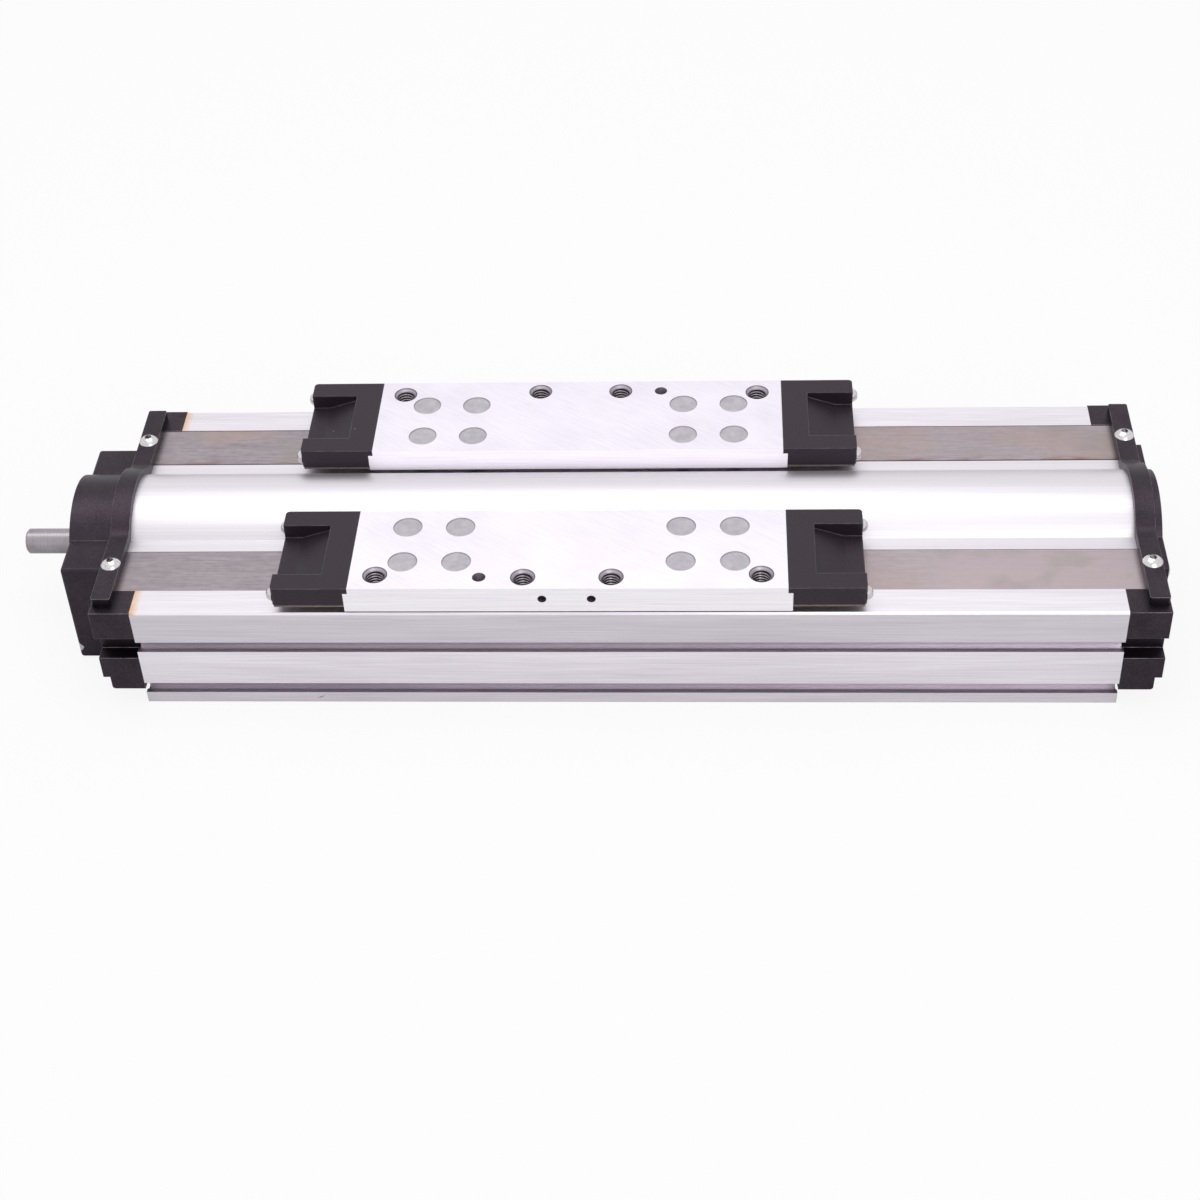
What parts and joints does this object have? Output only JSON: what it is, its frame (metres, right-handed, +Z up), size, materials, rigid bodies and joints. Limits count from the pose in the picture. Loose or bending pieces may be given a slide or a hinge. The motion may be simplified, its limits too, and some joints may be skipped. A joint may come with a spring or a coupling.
{
  "type": "linear positioning stage",
  "caption": "Screw-driven linear stage: slotted aluminium base, arched centre cover, two steel seal strips, split table on rails that the drive shaft moves",
  "frame": {"origin": "centre of the base profile's underside", "axes": "+X along the travel, away from the drive shaft; +Y to the rear; +Z up, out of the table's top"},
  "size_m": [0.4438, 0.127, 0.059],
  "materials": {
    "clear_anodised_aluminium": "satin",
    "machined_aluminium": "fine machined",
    "cover_aluminium": "satin",
    "strip_steel": "rolled",
    "black_anodised_aluminium": "satin",
    "black_plastic": "satin",
    "brown_wiper_plastic": "matte",
    "grey_plug_plastic": "matte",
    "stainless_steel": "bright",
    "ground_steel": "ground",
    "bearing_steel": "polished",
    "black_oxide_steel": "black oxide",
    "black_rubber": "matte",
    "bonded_magnet": "matte"
  },
  "bodies": {
    "base": {"base_extrusion": "clear_anodised_aluminium", "centre_cover": "cover_aluminium", "strip_magnets": "bonded_magnet", "front_rail": "ground_steel", "rear_rail": "ground_steel", "rail_screws": "black_oxide_steel", "drive_end_cap": "black_anodised_aluminium", "idle_end_cap": "black_anodised_aluminium", "end_cap_screws": "stainless_steel", "drive_bearing_block": "black_anodised_aluminium", "bearing_block_screws": "stainless_steel", "bearing_cover": "black_anodised_aluminium", "bearing_cover_screws": "stainless_steel", "drive_strip_clamp": "black_anodised_aluminium", "idle_strip_clamp": "black_anodised_aluminium", "strip_clamp_screws": "stainless_steel", "front_seal_strip": "strip_steel", "rear_seal_strip": "strip_steel", "end_bumpers": "black_rubber", "drive_bearing_outer_rings": "bearing_steel", "idle_bearing_outer_ring": "bearing_steel", "bearing_retainer": "ground_steel"},
    "screw": {"ball_screw": "ground_steel", "drive_bearing_inner_rings": "bearing_steel", "idle_bearing_inner_ring": "bearing_steel", "screw_lock_nut": "black_oxide_steel", "shaft_circlip": "black_oxide_steel"},
    "carriage": {"carriage": "machined_aluminium", "runner_block_front_left": "bearing_steel", "runner_block_front_right": "bearing_steel", "runner_block_rear_left": "bearing_steel", "runner_block_rear_right": "bearing_steel", "runner_end_pieces": "black_plastic", "runner_screws": "black_oxide_steel", "access_plugs": "grey_plug_plastic", "nut_bracket": "clear_anodised_aluminium", "ball_nut": "ground_steel", "nut_bracket_screws": "black_oxide_steel", "strip_guide_front_left": "black_plastic", "strip_guide_front_right": "black_plastic", "strip_guide_rear_left": "black_plastic", "strip_guide_rear_right": "black_plastic", "guide_wipers": "brown_wiper_plastic", "guide_screws": "stainless_steel"}
  },
  "joints": [
    {"name": "screw_spin", "type": "hinge", "parent": "base", "child": "screw", "pos_m": [0, 0, 0.029], "axis": [1, 0, 0], "range_deg": [-6841, 3961]},
    {"name": "carriage_slide", "type": "slide", "parent": "base", "child": "carriage", "axis": [1, 0, 0], "range_m": [-0.055, 0.095], "deforming": ["front_seal_strip", "rear_seal_strip"]}
  ],
  "couplings": [
    {"joint": "screw_spin", "follows": "carriage_slide", "rad_per_m": -1256.6}
  ]
}
